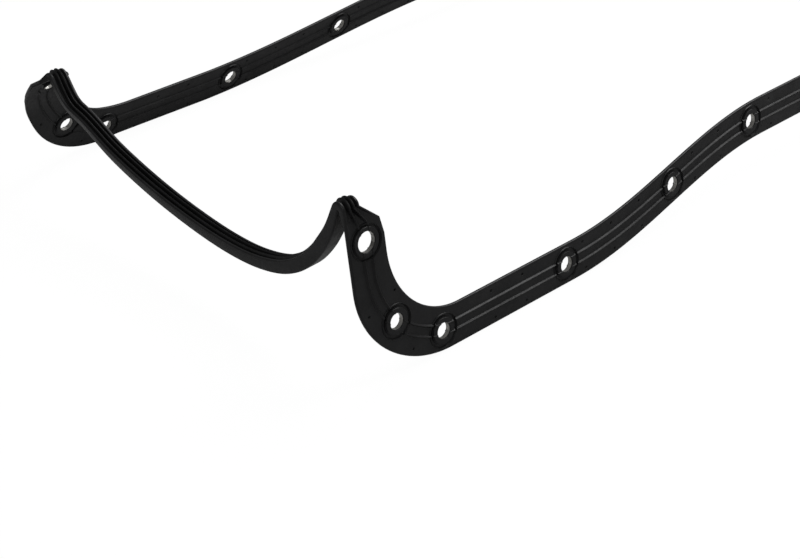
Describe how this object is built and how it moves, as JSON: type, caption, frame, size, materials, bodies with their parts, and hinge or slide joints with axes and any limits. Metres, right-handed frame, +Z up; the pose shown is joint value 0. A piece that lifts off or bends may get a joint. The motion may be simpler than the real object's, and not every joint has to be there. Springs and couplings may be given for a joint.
{
  "type": "oil pan gasket",
  "caption": "Moulded rubber oil pan gasket: hooked side rails with beads and sleeved bolt holes, joined by curved end seals.",
  "frame": {"origin": "middle of the underside, on the surface that the gasket stands on", "axes": "+X along the side rails, from the front end seal to the rear one; +Y from the near rail to the far one; +Z up"},
  "size_m": [0.574, 0.2488, 0.0823],
  "materials": {
    "rubber": "moulded, satin",
    "sleeve_steel": "plain cut tube, dull"
  },
  "bodies": {
    "root": {"gasket_moulding": "rubber", "near_sleeve_01": "sleeve_steel", "near_sleeve_02": "sleeve_steel", "near_sleeve_03": "sleeve_steel", "near_sleeve_04": "sleeve_steel", "near_sleeve_05": "sleeve_steel", "near_sleeve_06": "sleeve_steel", "near_sleeve_07": "sleeve_steel", "near_sleeve_08": "sleeve_steel", "near_sleeve_09": "sleeve_steel", "near_sleeve_10": "sleeve_steel", "near_sleeve_11": "sleeve_steel", "near_sleeve_12": "sleeve_steel", "far_sleeve_01": "sleeve_steel", "far_sleeve_02": "sleeve_steel", "far_sleeve_03": "sleeve_steel", "far_sleeve_04": "sleeve_steel", "far_sleeve_05": "sleeve_steel", "far_sleeve_06": "sleeve_steel", "far_sleeve_07": "sleeve_steel", "far_sleeve_08": "sleeve_steel", "far_sleeve_09": "sleeve_steel", "far_sleeve_10": "sleeve_steel", "far_sleeve_11": "sleeve_steel"}
  },
  "joints": []
}
